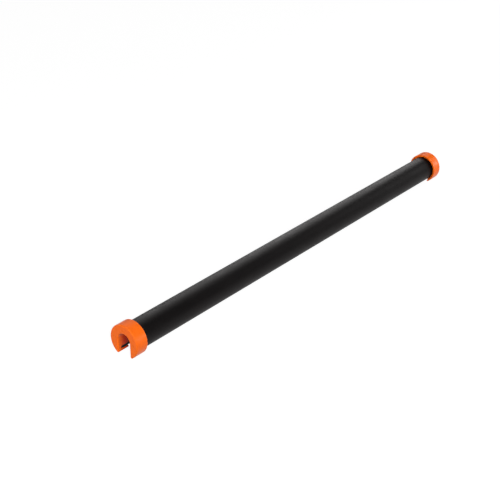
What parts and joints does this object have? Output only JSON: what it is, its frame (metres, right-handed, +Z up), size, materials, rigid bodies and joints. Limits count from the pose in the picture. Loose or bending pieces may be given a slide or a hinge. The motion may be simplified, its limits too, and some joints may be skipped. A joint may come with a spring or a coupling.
{
  "type": "bed cargo bar",
  "caption": "Straight black round bar with a moulded orange horseshoe cap at each end; the cap's notch opens downwards and sits over a round peg.",
  "frame": {"origin": "on the surface that the bar stands on, below the middle of its length and width", "axes": "+X along the bar, +Y across it, +Z up, with the notches open towards -Z"},
  "size_m": [1.143, 0.0736, 0.068],
  "materials": {
    "black_tube": "satin black coating",
    "orange_cap": "satin moulded orange"
  },
  "bodies": {
    "root": {"tube": "black_tube", "left_end_cap": "orange_cap", "right_end_cap": "orange_cap"}
  },
  "joints": []
}
